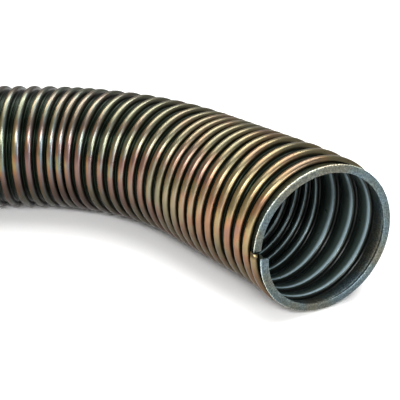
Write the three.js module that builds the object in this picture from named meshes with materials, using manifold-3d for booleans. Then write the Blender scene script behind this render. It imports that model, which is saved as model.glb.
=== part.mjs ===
// Flexible exhaust hose, wound from one interlocked steel strip. Millimetres, +Z up.
// The hose lies on its side: straight along X from its far end, then bent towards -Y to its mouth.
// Places along the hose are given as a depth, the length of axis behind the mouth.
import * as THREE from 'three';
import { mergeGeometries, mergeVertices } from 'three/addons/utils/BufferGeometryUtils.js';
import Module from 'manifold-3d';

// Driving sizes of the wall. A crown is the raised part of a turn, with a groove to the next turn.
const boreDiameter = 101.6;
const wallHeight = 5.0;
const grooveDepth = 3.2;
const innerGrooveDepth = 1.3;
const crownTopWidth = 5.2;
const flankWidth = 0.6;

// At the mouth the strip's front part is free. It is a low band that ends in an upturned rim.
const leadingBandWidth = 10.5;
const rimHeight = 1.2;
const rimThickness = 1.6;

// Length along the axis, and the bends in order from the mouth back to the straight run
const hoseLength = 610;
const mouthBendLength = 61;
const middleLength = 84;
const mainBendLength = 182;
const bends = [
  { length: mouthBendLength, degrees: 19 },
  { length: middleLength, degrees: 0 },
  { length: mainBendLength, degrees: 49 },
];

// How wide the groove is pulled open, in stretches of some turns each from the mouth back.
// Behind the last stretch the hose keeps the last width.
const openGroove = 8.3;
const restGroove = 7.2;
const tightGroove = 4.3;
const closedGroove = 3.5;
const grooveStretches = [
  { turns: 1, width: restGroove },
  { turns: 2.6, width: openGroove },
  { turns: 8, width: closedGroove },
  { turns: 8, width: openGroove },
  { turns: 3, width: tightGroove },
  { turns: 1, width: restGroove },
];

// The strip starts on the mouth at this angle from the top, and winds on down the left side of the
// mouth as seen from in front of it
const stripStartDegrees = 72;
const segmentsPerTurn = 20;
const axisStep = 1;

const boreRadius = boreDiameter / 2;
const crownRadius = boreRadius + wallHeight;
const grooveRadius = crownRadius - grooveDepth;
const wholeTurn = 2 * Math.PI;

// Spacing of the turns along the axis, after a number of turns from the mouth
function spacingAt(turn) {
  let stretchEnd = 0;
  let width = 0;
  for (const stretch of grooveStretches) {
    width = stretch.width;
    stretchEnd += stretch.turns;
    if (turn < stretchEnd) {
      break;
    }
  }
  return crownTopWidth + 2 * flankWidth + width;
}

// Depth of the crown's front edge after each segment of winding
function walkWinding(wantedDepth) {
  const depths = [leadingBandWidth];
  while (depths.at(-1) < wantedDepth) {
    const middleOfSegment = (depths.length - 0.5) / segmentsPerTurn;
    depths.push(depths.at(-1) + spacingAt(middleOfSegment) / segmentsPerTurn);
  }
  return depths;
}

// Direction of the axis in the plane of the bends, 0 along +X and growing towards -Y
function headingAt(depth) {
  let heading = 0;
  let bendStart = 0;
  for (const bend of bends) {
    const passed = THREE.MathUtils.clamp((depth - bendStart) / bend.length, 0, 1);
    heading += THREE.MathUtils.degToRad(bend.degrees) * (1 - passed);
    bendStart += bend.length;
  }
  return heading;
}

// Turning of the axis for each millimetre of its length
function curvatureAt(depth) {
  return (headingAt(depth - axisStep / 2) - headingAt(depth + axisStep / 2)) / axisStep;
}

// Points of the axis from the mouth back, one for each step
function walkAxis(wantedDepth) {
  const points = [new THREE.Vector3()];
  for (let depth = 0; depth < wantedDepth; depth += axisStep) {
    const heading = headingAt(depth + axisStep / 2);
    const backwards = new THREE.Vector3(-Math.cos(heading), Math.sin(heading), 0);
    points.push(points.at(-1).clone().addScaledVector(backwards, axisStep));
  }
  return points;
}

// The wound solid runs past the far end, where the square cut is made
const openTurn = crownTopWidth + 2 * flankWidth + grooveStretches.at(-1).width;
const windingLength = hoseLength + 1.5 * openTurn;
const frontEdge = walkWinding(windingLength);
const lastSegment = frontEdge.length - 1 - segmentsPerTurn;
const axis = walkAxis(frontEdge.at(-1) + axisStep);

function axisPoint(depth) {
  const place = depth / axisStep;
  const index = Math.floor(place);
  return new THREE.Vector3().lerpVectors(axis[index], axis[index + 1], place - index);
}

// Point at a radius around the axis. The angle grows from the top towards the inside of the bends.
function wallPoint(depth, radius, angle) {
  const heading = headingAt(depth);
  const inwards = new THREE.Vector3(-Math.sin(heading), -Math.cos(heading), 0);
  const point = axisPoint(depth);
  point.z += radius * Math.cos(angle);
  return point.addScaledVector(inwards, radius * Math.sin(angle));
}

function angleOf(segment) {
  return THREE.MathUtils.degToRad(stripStartDegrees) + (segment / segmentsPerTurn) * wholeTurn;
}

// Length of axis that covers a width of strip, more of it on the inside of a bend than outside
function axisLengthOf(width, depth, angle) {
  return width / (1 - curvatureAt(depth) * crownRadius * Math.sin(angle));
}

// Section of one turn at a segment: places of its outer line, front to back, as depth and radius
function outerSection(segment) {
  const angle = angleOf(segment);
  const front = frontEdge[segment];
  const back = frontEdge[segment + segmentsPerTurn];
  const crownBack = front + axisLengthOf(crownTopWidth, front, angle);
  const flank = axisLengthOf(flankWidth, front, angle);
  return [
    { depth: front, radius: crownRadius },
    { depth: crownBack, radius: crownRadius },
    { depth: crownBack + flank, radius: grooveRadius },
    { depth: back - flank, radius: grooveRadius },
    { depth: back, radius: crownRadius },
  ];
}

// The inner line is a shallow groove under the crown
function innerSection(segment) {
  const front = frontEdge[segment];
  const back = frontEdge[segment + segmentsPerTurn];
  const underCrown = front + axisLengthOf(crownTopWidth / 2, front, angleOf(segment));
  return [
    { depth: front, radius: boreRadius },
    { depth: underCrown, radius: boreRadius + innerGrooveDepth },
    { depth: back, radius: boreRadius },
  ];
}

// Section of the free band: a closed outline that starts at the bore side of the rim. It reaches
// into the first crown, which carries it.
function leadingSection(segment) {
  const crownFront = frontEdge[segment];
  const front = crownFront - leadingBandWidth;
  const back = crownFront + flankWidth;
  const rimRadius = grooveRadius + rimHeight;
  return [
    { depth: front, radius: boreRadius },
    { depth: front, radius: rimRadius },
    { depth: front + rimThickness, radius: rimRadius },
    { depth: front + rimThickness, radius: grooveRadius },
    { depth: back, radius: grooveRadius },
    { depth: back, radius: boreRadius },
  ];
}

function placeOnWall(segment, place) {
  return wallPoint(place.depth, place.radius, angleOf(segment));
}

// Open surface through rows of points, its faces turned over where asked
function rowsSurface(rows, turnedOver) {
  const width = rows[0].length;
  const geometry = new THREE.BufferGeometry().setFromPoints(rows.flat());
  const index = [];
  for (let row = 0; row < rows.length - 1; row += 1) {
    for (let column = 0; column < width - 1; column += 1) {
      const corner = row * width + column;
      const quad = [corner, corner + 1, corner + width + 1, corner + width];
      if (turnedOver) {
        quad.reverse();
      }
      index.push(quad[0], quad[1], quad[2], quad[0], quad[2], quad[3]);
    }
  }
  geometry.setIndex(index);
  return geometry;
}

// Surface that follows the strip round from its start to a last segment
function woundSurface(sectionOf, endSegment, turnedOver) {
  const rows = [];
  for (let segment = 0; segment <= endSegment; segment += 1) {
    rows.push(sectionOf(segment).map((place) => placeOnWall(segment, place)));
  }
  return rowsSurface(rows, turnedOver);
}

// Edge face that joins the outer and inner walls along the front of the first turn or the back of
// the last one
function turnEdge(firstSegment, placeIn, turnedOver) {
  const rows = [];
  for (let segment = firstSegment; segment <= firstSegment + segmentsPerTurn; segment += 1) {
    const outer = placeIn(outerSection(segment));
    const inner = placeIn(innerSection(segment));
    rows.push([placeOnWall(segment, outer), placeOnWall(segment, inner)]);
  }
  return rowsSurface(rows, turnedOver);
}

function wallOutline(segment) {
  return [...outerSection(segment), ...innerSection(segment).reverse()];
}

// Cut end of the strip: an outline of its section, filled
function stripEnd(outlineOf, segment, turnedOver) {
  const outline = outlineOf(segment);
  const flat = outline.map((place) => new THREE.Vector2(place.depth, place.radius));
  const triangles = THREE.ShapeUtils.triangulateShape(flat, []);
  const geometry = new THREE.BufferGeometry();
  geometry.setFromPoints(outline.map((place) => placeOnWall(segment, place)));
  geometry.setIndex(triangles.flatMap((corners) => (turnedOver ? [...corners].reverse() : corners)));
  return geometry;
}

function joinSurfaces(surfaces) {
  const joined = mergeGeometries(surfaces);
  joined.deleteAttribute('normal');
  joined.deleteAttribute('uv');
  return mergeVertices(joined, 1e-4);
}

function toSolid(wasm, geometry) {
  const merged = joinSurfaces([geometry]);
  return new wasm.Manifold(new wasm.Mesh({
    numProp: 3,
    vertProperties: Float32Array.from(merged.attributes.position.array),
    triVerts: Uint32Array.from(merged.index.array),
  }));
}

function toGeometry(solid) {
  const mesh = solid.getMesh();
  const geometry = new THREE.BufferGeometry();
  geometry.setAttribute('position', new THREE.BufferAttribute(mesh.vertProperties, 3));
  geometry.setIndex(new THREE.BufferAttribute(mesh.triVerts, 1));
  return geometry;
}

function woundWall() {
  const frontPlace = (section) => section[0];
  const backPlace = (section) => section.at(-1);
  return joinSurfaces([
    woundSurface(outerSection, lastSegment, false),
    woundSurface(innerSection, lastSegment, true),
    turnEdge(0, frontPlace, true),
    turnEdge(lastSegment - segmentsPerTurn, backPlace, false),
    stripEnd(wallOutline, 0, false),
    stripEnd(wallOutline, lastSegment, true),
  ]);
}

// The free band runs round the mouth once
function leadingBand() {
  const closedSection = (segment) => {
    const section = leadingSection(segment);
    return [...section, section[0]];
  };
  return joinSurfaces([
    woundSurface(closedSection, segmentsPerTurn, false),
    stripEnd(leadingSection, 0, false),
    stripEnd(leadingSection, segmentsPerTurn, true),
  ]);
}

// Block that covers the winding behind the far end
function blockBehindFarEnd() {
  const farEnd = axisPoint(hoseLength);
  const depth = 4 * openTurn;
  const height = 2 * crownRadius + 2 * openTurn;
  const block = new THREE.BoxGeometry(depth, height, height);
  block.translate(farEnd.x - depth / 2, farEnd.y, farEnd.z);
  return block;
}

function hoseMaterial() {
  return new THREE.MeshStandardMaterial({ color: 0x9c9063, roughness: 0.35, metalness: 0.9 });
}

function layOnFloor(mesh) {
  mesh.geometry.computeBoundingBox();
  const box = mesh.geometry.boundingBox;
  const centre = box.getCenter(new THREE.Vector3());
  mesh.position.set(-centre.x, -centre.y, -box.min.z);
}

const wasm = await Module();
wasm.setup();

const wound = toSolid(wasm, woundWall()).add(toSolid(wasm, leadingBand()));
const cut = wound.subtract(toSolid(wasm, blockBehindFarEnd()));
const hose = new THREE.Mesh(toGeometry(cut), hoseMaterial());
hose.name = 'strip_wound_hose';
layOnFloor(hose);

const group = new THREE.Group();
group.add(hose);

export default group;
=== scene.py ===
"""Flexible exhaust hose: the wound strip at fine resolution, its free band at the mouth, its
yellow passivated steel, and the studio.

Sizes are in millimetres and are turned into metres where a mesh is made. Places along the hose are
given as a depth, the length of axis behind the mouth. Angles round the hose start at the top and
grow towards the inside of the bends.
"""
import math

import bmesh
import bpy
import numpy as np
from mathutils import Matrix, Vector


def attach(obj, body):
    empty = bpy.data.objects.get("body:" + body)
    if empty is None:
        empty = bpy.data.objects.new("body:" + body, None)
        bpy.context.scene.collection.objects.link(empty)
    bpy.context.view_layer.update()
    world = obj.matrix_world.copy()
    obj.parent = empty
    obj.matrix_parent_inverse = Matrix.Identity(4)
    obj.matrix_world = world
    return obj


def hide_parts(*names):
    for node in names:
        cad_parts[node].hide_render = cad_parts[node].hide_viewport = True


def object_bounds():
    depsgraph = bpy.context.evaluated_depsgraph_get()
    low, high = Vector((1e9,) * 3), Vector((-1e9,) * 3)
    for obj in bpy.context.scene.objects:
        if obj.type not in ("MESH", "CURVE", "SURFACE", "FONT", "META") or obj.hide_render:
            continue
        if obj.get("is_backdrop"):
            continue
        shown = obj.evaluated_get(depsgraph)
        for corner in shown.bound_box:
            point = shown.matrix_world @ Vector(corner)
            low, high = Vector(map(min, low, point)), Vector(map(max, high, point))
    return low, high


MM = 0.001

# Driving sizes, the same as the frame's
BORE_RADIUS = 50.8
CROWN_RADIUS = 55.8
CROWN_TOP_WIDTH = 5.2
FLANK_WIDTH = 0.6
HOSE_LENGTH = 610

# Length and degrees of each bend, from the mouth back
BENDS = [(61, 19), (84, 0), (182, 49)]

# Turns and groove width of each stretch, from the mouth back. The last one runs past the far end.
OPEN_GROOVE = 8.3
REST_GROOVE = 7.2
TIGHT_GROOVE = 4.3
CLOSED_GROOVE = 3.5
GROOVE_STRETCHES = [
    (1, REST_GROOVE),
    (2.6, OPEN_GROOVE),
    (8, CLOSED_GROOVE),
    (8, OPEN_GROOVE),
    (3, TIGHT_GROOVE),
    (26, REST_GROOVE),
]
LEADING_BAND_WIDTH = 10.5

# The turns lie where the frame has them, but the strip's end is cut back further round the mouth
FRAME_STRIP_START_DEGREES = 72
STRIP_START_DEGREES = 90

# Finer sizes of the strip that the frame doesn't hold
GROOVE_FLOOR_RADIUS = 51.5
CROWN_ROUNDING = 2.7
UNDER_CROWN_RADIUS = 54.7
HOLLOW_FOOT_HEIGHT = 0.5
STRIP_THICKNESS = 0.7
SEAM_HEIGHT = 0.55
RIM_RADIUS = 54.0
RIM_THICKNESS = 1.5
LIP_RADIUS = 48.0
BAND_FLOOR_RADIUS = GROOVE_FLOOR_RADIUS + 0.5
TOOTH_HEIGHT = 0.35
TEETH_AROUND = 150

# How finely the surfaces are made, and how far they run past the far end before the cut
ROWS_PER_TURN = 60
ROWS_PER_TOOTH = 6
CROWN_POINTS = 15
HOLLOW_POINTS = 9
AXIS_STEP = 0.5
AXIS_OVERRUN = 60
TURNS_OVERRUN = 1.3

# Camera, worked out from the curve of the hose in the photograph
FOCAL_LENGTH = 59.0
SENSOR_WIDTH = 36
CAMERA_DISTANCE = 637.6
CAMERA_ELEVATION = 25.3
CAMERA_TURN = 0.24
BEND_TO_CAMERA = 156.9


def crown_fronts(turns):
    """Depth of the crown's front edge after some turns from the strip's end: the turn spacing of
    each stretch, summed from where the frame's strip starts."""
    turns = turns + (STRIP_START_DEGREES - FRAME_STRIP_START_DEGREES) / 360
    ends = np.cumsum([0] + [stretch[0] for stretch in GROOVE_STRETCHES])
    crown_width = CROWN_TOP_WIDTH + 2 * FLANK_WIDTH
    pitches = np.array([crown_width + groove for _, groove in GROOVE_STRETCHES])
    depths = LEADING_BAND_WIDTH + np.concatenate([[0], np.cumsum(pitches * np.diff(ends))])
    return np.interp(turns, ends, depths)


def headings(depth):
    """Direction of the axis: each bend's degrees fall evenly to nothing along its length."""
    heading = np.zeros_like(depth)
    start = 0
    for length, degrees in BENDS:
        passed = np.clip((depth - start) / length, 0, 1)
        heading += math.radians(degrees) * (1 - passed)
        start += length
    return heading


def make_axis():
    """The axis in plan, in the frame's place: the directions summed in small steps, then moved so
    that the far end and the straight run lie where the frame's box has them."""
    depth = np.arange(0, HOSE_LENGTH + AXIS_OVERRUN, AXIS_STEP)
    middle = headings(depth[:-1] + AXIS_STEP / 2)
    x = np.concatenate([[0], np.cumsum(-np.cos(middle) * AXIS_STEP)])
    y = np.concatenate([[0], np.cumsum(np.sin(middle) * AXIS_STEP)])
    low, high = (np.array(corner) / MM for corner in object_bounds())
    x += low[0] - np.interp(HOSE_LENGTH, depth, x)
    y += high[1] - CROWN_RADIUS - y[-1]
    return depth, x, y


def place(axis, depth, radius, angle):
    """Points at a radius round the axis, in metres."""
    depths, x, y = axis
    heading = headings(depth)
    sideways = radius * np.sin(angle)
    points = np.stack([
        np.interp(depth, depths, x) - np.sin(heading) * sideways,
        np.interp(depth, depths, y) - np.cos(heading) * sideways,
        CROWN_RADIUS + radius * np.cos(angle),
    ], axis=-1)
    return points * MM


def axis_length_of(width, depth, angle):
    """Length of axis that a width of strip covers: more inside a bend, less outside it."""
    half_millimetre = 0.5
    curvature = headings(depth - half_millimetre) - headings(depth + half_millimetre)
    return width / (1 - curvature * CROWN_RADIUS * np.sin(angle))


def rounded_rise(half_width, low, high, count):
    """Half of a rounded box shape over a base line: places across, and radii."""
    turn = np.linspace(math.pi, 0, count)
    across = np.sign(np.cos(turn)) * np.abs(np.cos(turn)) ** (2 / CROWN_ROUNDING)
    up = np.abs(np.sin(turn)) ** (2 / CROWN_ROUNDING)
    return half_width * across, low + (high - low) * up


def outer_profile():
    """Outer line of one turn. Each point is a width of strip from the crown's front edge, a share
    of the groove behind the crown, a radius, and a shade from the crown's front to its back, which
    lays on the painted highlight colours."""
    half_width = CROWN_TOP_WIDTH / 2 + FLANK_WIDTH
    across, radius = rounded_rise(half_width, GROOVE_FLOOR_RADIUS, CROWN_RADIUS, CROWN_POINTS)
    middle = CROWN_TOP_WIDTH / 2
    crown = [(middle + a, 0, r, 0.5 + a / (2 * half_width)) for a, r in zip(across, radius)]
    foot = CROWN_TOP_WIDTH + FLANK_WIDTH
    floor = [
        (foot, 0.42, GROOVE_FLOOR_RADIUS, 1),
        (foot, 0.46, GROOVE_FLOOR_RADIUS + SEAM_HEIGHT, 0.5),
        (foot, 0.56, GROOVE_FLOOR_RADIUS + SEAM_HEIGHT, 0.5),
        (foot, 0.60, GROOVE_FLOOR_RADIUS, 0),
    ]
    return np.array(crown + floor)


def inner_profile():
    """Inner line of one turn, with the same four values for a point: the hollow under the crown,
    then the band under the groove, whose front edge turns in towards the bore. Its shades are
    painted light: 1 puts a painted highlight on the band's front edge, lower values paint it darker."""
    half_width = CROWN_TOP_WIDTH / 2 + FLANK_WIDTH - STRIP_THICKNESS
    hollow_foot = BORE_RADIUS + HOLLOW_FOOT_HEIGHT
    across, radius = rounded_rise(half_width, hollow_foot, UNDER_CROWN_RADIUS, HOLLOW_POINTS)
    hollow = [(CROWN_TOP_WIDTH / 2 + a, 0, r, 0) for a, r in zip(across, radius)]
    foot = CROWN_TOP_WIDTH + FLANK_WIDTH
    band = [
        (foot, 0.02, BORE_RADIUS + 0.15, 1),
        (foot, 0.12, BORE_RADIUS, 1),
        (foot, 0.30, BORE_RADIUS + 0.1, 0.6),
        (foot, 0.75, BORE_RADIUS + 0.4, 0.3),
    ]
    return np.array(hollow + band)


def wound_points(axis, profile, turns):
    """A grid of points: for each row of turns, the profile laid out from that row's crown edge.
    With it come the values that the material needs at each point."""
    front = crown_fronts(turns)[:, None]
    back = crown_fronts(turns + 1)[:, None]
    angle = (math.radians(STRIP_START_DEGREES) + 2 * math.pi * turns)[:, None]
    width, share, radius, shade = profile.T[:, None, :]
    crown = axis_length_of(width, front, angle)
    groove = back - front - axis_length_of(CROWN_TOP_WIDTH + 2 * FLANK_WIDTH, front, angle)
    depth = front + crown + share * groove
    radius = np.broadcast_to(radius, depth.shape)
    values = {
        "height": (radius - BORE_RADIUS) / (CROWN_RADIUS - BORE_RADIUS),
        "shade": np.broadcast_to(shade, depth.shape),
    }
    return place(axis, depth, radius, angle), values


def spiral_faces(rows, columns, offset):
    """Quads of a surface that winds on: the last column of a row meets the first column of the row
    one turn later."""
    count = rows - ROWS_PER_TURN - 1
    row = np.arange(count)[:, None]
    column = np.arange(columns)[None, :]
    here = row * columns + column
    wraps = column == columns - 1
    beside = np.where(wraps, (row + ROWS_PER_TURN) * columns, here + 1)
    quads = np.stack([here, beside, beside + columns, here + columns], axis=-1)
    return quads.reshape(-1, 4) + offset


def mesh_object(name, points, values, quads, extra_faces=()):
    """An object from arrays of points and quads, and a few faces with more corners. Each of the
    values becomes an attribute of the points."""
    mesh = bpy.data.meshes.new(name)
    faces = quads.tolist() + [list(face) for face in extra_faces]
    mesh.from_pydata(points.tolist(), [], faces)
    for label, numbers in values.items():
        attribute = mesh.attributes.new(label, "FLOAT", "POINT")
        attribute.data.foreach_set("value", numbers.astype(np.float32))
    mesh.shade_smooth()
    obj = bpy.data.objects.new(name, mesh)
    bpy.context.scene.collection.objects.link(obj)
    return obj


def cut_square(obj, far_x):
    """Cuts the mesh off at the far end and closes the wall there with a ring of faces."""
    work = bmesh.new()
    work.from_mesh(obj.data)
    everything = work.verts[:] + work.edges[:] + work.faces[:]
    cut = bmesh.ops.bisect_plane(
        work, geom=everything, plane_co=(far_x, 0, 0), plane_no=(-1, 0, 0), clear_outer=True)
    edges = [part for part in cut["geom_cut"] if isinstance(part, bmesh.types.BMEdge)]
    ring = bmesh.ops.bridge_loops(work, edges=edges)
    for face in ring["faces"]:
        face.smooth = False
    bmesh.ops.recalc_face_normals(work, faces=work.faces[:])
    work.to_mesh(obj.data)
    work.free()


def make_wall(axis):
    """The wound wall: the outer and the inner line swept round together, and joined along the front
    of the first turn. It runs past the far end, where it is cut later."""
    ends = np.cumsum([stretch[0] for stretch in GROOVE_STRETCHES])
    all_turns = np.arange(0, ends[-1], 1 / ROWS_PER_TURN)
    needed = crown_fronts(all_turns - TURNS_OVERRUN) < HOSE_LENGTH
    turns = all_turns[needed]
    rows = len(turns)
    outer, outer_values = wound_points(axis, outer_profile(), turns)
    inner, inner_values = wound_points(axis, inner_profile(), turns)
    outer_columns = outer.shape[1]
    inner_columns = inner.shape[1]
    offset = rows * outer_columns
    row = np.arange(ROWS_PER_TURN)
    front = np.stack([
        row * outer_columns,
        (row + 1) * outer_columns,
        offset + (row + 1) * inner_columns,
        offset + row * inner_columns,
    ], axis=-1)
    quads = np.concatenate([
        spiral_faces(rows, outer_columns, 0),
        spiral_faces(rows, inner_columns, offset)[:, ::-1],
        front,
    ])
    strip_end = (
        list(range(outer_columns)) + [ROWS_PER_TURN * outer_columns]
        + [offset + ROWS_PER_TURN * inner_columns]
        + [offset + column for column in reversed(range(inner_columns))]
    )
    points = np.concatenate([outer.reshape(-1, 3), inner.reshape(-1, 3)])
    values = {
        label: np.concatenate([outer_values[label].ravel(), inner_values[label].ravel()])
        for label in outer_values
    }
    counts = [rows * outer_columns, rows * inner_columns]
    values["inside"] = np.repeat([0.0, 1.0], counts)
    return mesh_object("hose_wall", points, values, quads, [strip_end])


def band_profile():
    """Section of the free band at the mouth, as depths behind its front, radii, shares of the
    teeth's height, and shades. It starts at the lip in the bore and goes round outside. The shades
    are painted light: 1 is a painted highlight on the rim's top, and 0 is painted shade in the
    channel behind the rim and in a line inside behind the lip."""
    back = LEADING_BAND_WIDTH + FLANK_WIDTH
    return np.array([
        (0.9, LIP_RADIUS, 0, 0.5),
        (0.3, LIP_RADIUS + 0.1, 0, 0.7),
        (0.0, LIP_RADIUS + 0.6, 0.1, 0.5),
        (0.0, BORE_RADIUS + 1.6, 0.2, 0.4),
        (0.0, RIM_RADIUS - 0.4, 0.6, 0.6),
        (0.35, RIM_RADIUS, 1, 1),
        (RIM_THICKNESS - 0.4, RIM_RADIUS, 1, 1),
        (RIM_THICKNESS, RIM_RADIUS - 0.5, 0.5, 0.4),
        (RIM_THICKNESS + 0.2, BAND_FLOOR_RADIUS, 0.3, 0),
        (LEADING_BAND_WIDTH / 2, BAND_FLOOR_RADIUS - 0.2, 0.3, 0),
        (back, BAND_FLOOR_RADIUS - 0.3, 0.3, 0),
        (back, BORE_RADIUS, 0, 0.25),
        (RIM_THICKNESS + 4.5, BORE_RADIUS, 0, 0.55),
        (RIM_THICKNESS + 2.4, BORE_RADIUS, 0, 0.85),
        (RIM_THICKNESS + 0.4, BORE_RADIUS + 0.3, 0, 0.0),
    ])


def make_band(axis):
    """The strip's free front part, swept round the mouth once. The small teeth on its rim are the
    sum of two waves round it, the second one off beat so that they look uneven."""
    rows = TEETH_AROUND * ROWS_PER_TOOTH + 1
    turns = np.linspace(0, 1, rows)[:, None]
    angle = math.radians(STRIP_START_DEGREES) + 2 * math.pi * turns
    depth, radius, tooth_share, shade = band_profile().T[:, None, :]
    beat = TEETH_AROUND * turns
    ripple = np.sin(2 * math.pi * beat) + 0.5 * np.sin(1.7 * beat)
    radius = radius + TOOTH_HEIGHT * tooth_share * (0.35 * ripple - 0.5)
    depth = crown_fronts(turns) - LEADING_BAND_WIDTH + depth
    points = place(axis, depth, radius, angle)
    columns = points.shape[1]
    row = np.arange(rows - 1)[:, None]
    column = np.arange(columns)[None, :]
    here = row * columns + column
    beside = row * columns + (column + 1) % columns
    quads = np.stack([here, beside, beside + columns, here + columns], axis=-1).reshape(-1, 4)
    last = (rows - 1) * columns
    ends = [list(reversed(range(columns))), [last + column for column in range(columns)]]
    values = {"shade": np.broadcast_to(shade, depth.shape).ravel()}
    return mesh_object("mouth_band", points.reshape(-1, 3), values, quads, ends)


def add(tree, kind, **settings):
    """A node with its settings: a name with in_ in front sets that input."""
    node = tree.nodes.new(kind)
    for name, value in settings.items():
        if name.startswith("in_"):
            node.inputs[name[3:].replace("_", " ")].default_value = value
        else:
            setattr(node, name, value)
    return node


def ramp(tree, factor, stops):
    """A colour ramp through stops of a place and a colour."""
    node = tree.nodes.new("ShaderNodeValToRGB")
    elements = node.color_ramp.elements
    while len(elements) < len(stops):
        elements.new(1)
    for element, (position, colour) in zip(elements, stops):
        element.position = position
        element.color = (*colour, 1)
    tree.links.new(factor, node.inputs["Fac"])
    return node.outputs["Color"]


def mix(tree, factor, first, second, blend="MIX"):
    """Blends two colours. The node has a set of sockets for each kind of value: 0 is the factor, and
    6 and 7 are the colours."""
    node = add(tree, "ShaderNodeMix", data_type="RGBA", blend_type=blend)
    sockets = (node.inputs[0], node.inputs[6], node.inputs[7])
    for socket, value in zip(sockets, (factor, first, second)):
        if isinstance(value, bpy.types.NodeSocket):
            tree.links.new(value, socket)
        elif isinstance(value, tuple):
            socket.default_value = (*value, 1)
        else:
            socket.default_value = value
    return node.outputs[2]


def noise(tree, vector, scale, detail):
    node = add(tree, "ShaderNodeTexNoise", in_Scale=scale, in_Detail=detail)
    tree.links.new(vector, node.inputs["Vector"])
    return node.outputs["Fac"]


def spread(tree, value, settings):
    """A value moved from one range to another."""
    node = add(tree, "ShaderNodeMapRange", **settings)
    tree.links.new(value, node.inputs["Value"])
    return node.outputs["Result"]


def coordinate(tree, coords, letter):
    """One of the X, Y and Z values of the coordinates."""
    split = tree.nodes.new("ShaderNodeSeparateXYZ")
    tree.links.new(coords, split.inputs[0])
    return split.outputs[letter]


def point_value(tree, name):
    return add(tree, "ShaderNodeAttribute", attribute_name=name).outputs["Fac"]


def bump(tree, height, strength, distance):
    node = add(tree, "ShaderNodeBump", in_Strength=strength, in_Distance=distance)
    tree.links.new(height, node.inputs["Height"])
    return node.outputs["Normal"]


def film_colour(tree, coords, shade):
    """The yellow film outside: its tint drifts along the hose. By the shade value it gets painted
    highlight colours, gold at the back of each crown and blue grey at its front. Towards the mouth a
    brighter gold is mixed in, partly the film's own and partly painted highlight, and further back
    the tint is duller. Towards the top it is painted a duller olive grey where the highlights fall,
    and towards the floor a darker brown as painted shade."""
    drift = noise(tree, coords, 30, 3)
    warm = ramp(tree, drift, [
        (0.36, (0.30, 0.13, 0.11)),
        (0.45, (0.50, 0.20, 0.06)),
        (0.52, (0.44, 0.31, 0.09)),
        (0.62, (0.20, 0.20, 0.12)),
    ])
    cool = ramp(tree, drift, [
        (0.40, (0.22, 0.15, 0.19)),
        (0.50, (0.15, 0.26, 0.34)),
        (0.60, (0.20, 0.27, 0.22)),
    ])
    # Painted highlight colours: warm on the back of each crown, cool on its front that faces the
    # mouth.
    side = ramp(tree, shade, [(0.30, (1, 1, 1)), (0.62, (0, 0, 0))])
    gold_share = near_mouth(tree, coords)
    tint = mix(tree, side, warm, mix(tree, gold_share, cool, warm))
    # Towards the mouth a brighter gold, partly painted highlight; further back a duller dark olive.
    gold = mix(tree, 0.22, tint, (1.0, 0.52, 0.14))
    dull = mix(tree, 0.35, tint, (0.13, 0.125, 0.085))
    tint = mix(tree, gold_share, dull, gold)

    height = height_over_floor(tree, coords)
    # Painted: towards the top the tint is dulled to olive grey where the highlights fall.
    high = ramp(tree, height, [(0.66, (0, 0, 0)), (0.90, (1, 1, 1))])
    painted_top_grey = mix(tree, 0.7, tint, (0.12, 0.12, 0.08))
    tint = mix(tree, high, tint, painted_top_grey)
    # Painted shade: the tint goes darker brown towards the floor.
    low = ramp(tree, height, [(0.34, (1, 1, 1)), (0.72, (0, 0, 0))])
    painted_low_shade = mix(tree, 0.8, tint, (0.045, 0.030, 0.018))
    return mix(tree, low, tint, painted_low_shade)


def near_mouth(tree, coords):
    """Share of a brighter gold mixed into the crowns towards the mouth: partly the film's own gold
    there and partly a painted highlight.
    """
    x = coordinate(tree, coords, "X")
    return spread(tree, x, {"in_From_Min": 0.02, "in_From_Max": 0.22, "in_To_Max": 0.8})


def height_over_floor(tree, coords):
    """Share of the hose's height, 0 on the floor and 1 at its top."""
    return spread(tree, coordinate(tree, coords, "Z"), {"in_From_Max": 2 * CROWN_RADIUS * MM})


def inner_colour(tree, height, shade):
    """Dark green grey inside, with painted light: painted shade that is black in the hollows and
    dark towards each band's back, and a painted highlight along each band's front edge.
    """
    # Painted light inside: the low shade stops are painted shade, and the top stop is a painted
    # highlight.
    band = ramp(tree, shade, [
        (0.30, (0.012, 0.018, 0.015)),
        (0.58, (0.065, 0.095, 0.085)),
        (0.80, (0.21, 0.29, 0.30)),
        (0.97, (0.40, 0.54, 0.60)),
    ])
    hollow = ramp(tree, height, [(0.08, (0, 0, 0)), (0.30, (1, 1, 1))])
    painted_hollow_shade = (0.004, 0.006, 0.005)
    return mix(tree, hollow, band, painted_hollow_shade)


def passivated_steel():
    """Zinc coated steel with a thin yellow film, and painted shade in the grooves."""
    material = bpy.data.materials.new("passivated_steel")
    material.use_nodes = True
    tree = material.node_tree
    shader = tree.nodes["Principled BSDF"]
    coords = tree.nodes.new("ShaderNodeTexCoord").outputs["Object"]
    height = point_value(tree, "height")
    shade = point_value(tree, "shade")
    inside = point_value(tree, "inside")

    # Painted shade: the groove floors between the crowns get a near black colour, and the crowns
    # keep the film.
    unshaded_share = ramp(tree, height, [(0.28, (0, 0, 0)), (0.80, (1, 1, 1))])
    painted_groove_shade = (0.006, 0.010, 0.006)
    outside = mix(tree, unshaded_share, painted_groove_shade, film_colour(tree, coords, shade))
    colour = mix(tree, inside, outside, inner_colour(tree, height, shade))
    tree.links.new(colour, shader.inputs["Base Color"])
    metal = spread(tree, inside, {"in_To_Min": 0.95, "in_To_Max": 0.4})
    tree.links.new(metal, shader.inputs["Metallic"])
    rough = spread(tree, noise(tree, coords, 160, 4), {"in_To_Min": 0.22, "in_To_Max": 0.40})
    tree.links.new(rough, shader.inputs["Roughness"])
    grain = bump(tree, noise(tree, coords, 420, 3), 0.25, 0.0004)
    tree.links.new(grain, shader.inputs["Normal"])
    return material


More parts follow.
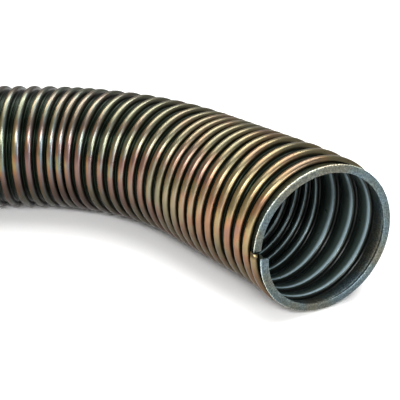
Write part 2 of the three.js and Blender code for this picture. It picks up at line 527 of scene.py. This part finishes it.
def rim_wear_and_painted_light():
    """The same steel on the free band: blue grey, scratched, and speckled bright on its teeth, with
    a painted highlight along the rim and painted shade behind it.
    """
    material = bpy.data.materials.new("rim_wear_and_painted_light")
    material.use_nodes = True
    tree = material.node_tree
    shader = tree.nodes["Principled BSDF"]
    coords = tree.nodes.new("ShaderNodeTexCoord").outputs["Object"]
    shade = point_value(tree, "shade")
    # Painted light by the shade value: the near white top stop is a painted highlight on the rim,
    # and the darkest stop is painted shade.
    base = ramp(tree, shade, [
        (0.0, (0.055, 0.065, 0.045)),
        (0.45, (0.075, 0.095, 0.10)),
        (0.7, (0.16, 0.20, 0.22)),
        (1.0, (0.80, 0.88, 0.86)),
    ])
    grain = noise(tree, coords, 900, 2)
    speckle = ramp(tree, grain, [(0.42, (0.45, 0.42, 0.38)), (0.62, (1.5, 1.4, 1.2))])
    stain = ramp(tree, noise(tree, coords, 45, 2), [
        (0.38, (1.15, 0.95, 0.75)),
        (0.50, (0.95, 1.0, 0.95)),
        (0.62, (0.85, 1.05, 1.25)),
    ])
    stained = mix(tree, 0.9, base, stain, "MULTIPLY")
    colour = mix(tree, 0.8, stained, speckle, "MULTIPLY")
    tree.links.new(colour, shader.inputs["Base Color"])
    shader.inputs["Metallic"].default_value = 0.7
    shader.inputs["Roughness"].default_value = 0.38
    tree.links.new(bump(tree, grain, 0.5, 0.0006), shader.inputs["Normal"])
    return material


def dress(obj, material):
    obj.data.materials.clear()
    obj.data.materials.append(material)
    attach(obj, "root")


def make_floor():
    """A wide pale floor that the hose lies on. Its reach is in metres."""
    mesh = bpy.data.meshes.new("floor")
    reach = 6
    corners = [(-reach, -reach, 0), (reach, -reach, 0), (reach, reach, 0), (-reach, reach, 0)]
    mesh.from_pydata(corners, [], [(0, 1, 2, 3)])
    floor = bpy.data.objects.new("floor", mesh)
    bpy.context.scene.collection.objects.link(floor)
    material = bpy.data.materials.new("pale_floor")
    material.use_nodes = True
    shader = material.node_tree.nodes["Principled BSDF"]
    shader.inputs["Base Color"].default_value = (0.9, 0.9, 0.9, 1)
    shader.inputs["Roughness"].default_value = 0.9
    mesh.materials.append(material)
    floor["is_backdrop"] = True


def make_light(name, size, power, position, target):
    """A softbox of a size in metres and a power in watts, turned towards its target."""
    light = bpy.data.lights.new(name, "AREA")
    light.shape = "RECTANGLE"
    light.size, light.size_y = size
    light.energy = power
    obj = bpy.data.objects.new(name, light)
    obj.location = position
    obj.rotation_euler = (Vector(target) - Vector(position)).to_track_quat("-Z", "Y").to_euler()
    bpy.context.scene.collection.objects.link(obj)


def make_sun(strength, softness, elevation, azimuth):
    """A wide soft sun that comes from an elevation, and from an azimuth seen from the camera's
    side: 0 is behind the camera and 90 is on its left."""
    light = bpy.data.lights.new("sun", "SUN")
    light.energy = strength
    light.angle = math.radians(softness)
    obj = bpy.data.objects.new("sun", light)
    rise = math.radians(elevation)
    turn = math.radians(azimuth)
    level = math.cos(rise)
    towards = Vector((-level * math.sin(turn), -level * math.cos(turn), math.sin(rise)))
    obj.rotation_euler = towards.to_track_quat("Z", "Y").to_euler()
    bpy.context.scene.collection.objects.link(obj)


def make_lights():
    """A dim white room, a wide sun that makes the floor white, a softbox behind the hose for the
    highlights on its top, one above the camera for those on its side, and one that lights the
    bore."""
    world = bpy.data.worlds.new("studio")
    world.use_nodes = True
    background = world.node_tree.nodes["Background"]
    background.inputs["Color"].default_value = (1, 1, 1, 1)
    background.inputs["Strength"].default_value = 0.35
    bpy.context.scene.world = world
    make_sun(strength=2.6, softness=60, elevation=75, azimuth=180)
    centre = (0.1, 0, 0.05)
    make_light("back_softbox", (1.4, 0.22), 8, (0.0, 0.55, 1.1), centre)
    make_light("front_softbox", (0.7, 0.2), 12, (-0.05, -0.95, 0.85), centre)
    mouth = (0.25, -0.08, 0.05)
    make_light("mouth_softbox", (0.4, 0.3), 4, (0.62, -0.75, 0.3), mouth)


def make_camera():
    """The camera looks across the straight run, turned a little about the start of the bend."""
    low, high = (np.array(corner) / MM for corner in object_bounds())
    bend_start = low[0] + HOSE_LENGTH - sum(length for length, _ in BENDS)
    pivot = Vector((bend_start, high[1] - CROWN_RADIUS, 0)) * MM
    elevation = math.radians(CAMERA_ELEVATION)
    aim = pivot + Vector((BEND_TO_CAMERA * MM, 0, 0))
    back = Vector((0, -math.cos(elevation), math.sin(elevation)))
    eye = aim + back * CAMERA_DISTANCE * MM
    turn = Matrix.Rotation(math.radians(CAMERA_TURN), 4, "Z")
    eye = pivot + turn @ (eye - pivot)
    aim = pivot + turn @ (aim - pivot)
    data = bpy.data.cameras.new("camera")
    data.lens = FOCAL_LENGTH
    data.sensor_width = SENSOR_WIDTH
    data.clip_start = 0.01
    camera = bpy.data.objects.new("camera", data)
    camera.location = eye
    camera.rotation_euler = (aim - eye).to_track_quat("-Z", "Y").to_euler()
    bpy.context.scene.collection.objects.link(camera)
    bpy.context.scene.camera = camera


bpy.context.scene.view_settings.view_transform = "Standard"
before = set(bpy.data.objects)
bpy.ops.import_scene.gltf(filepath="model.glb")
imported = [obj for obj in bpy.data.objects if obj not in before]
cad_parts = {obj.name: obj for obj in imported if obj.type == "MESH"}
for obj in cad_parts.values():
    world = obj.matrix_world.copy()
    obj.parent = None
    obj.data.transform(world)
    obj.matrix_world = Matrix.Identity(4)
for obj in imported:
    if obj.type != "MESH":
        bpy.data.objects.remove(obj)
cad_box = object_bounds()
far_x = cad_box[0][0]

axis = make_axis()
wall = make_wall(axis)
cut_square(wall, far_x)
band = make_band(axis)
dress(wall, passivated_steel())
dress(band, rim_wear_and_painted_light())
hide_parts("strip_wound_hose")

make_floor()
make_lights()
make_camera()
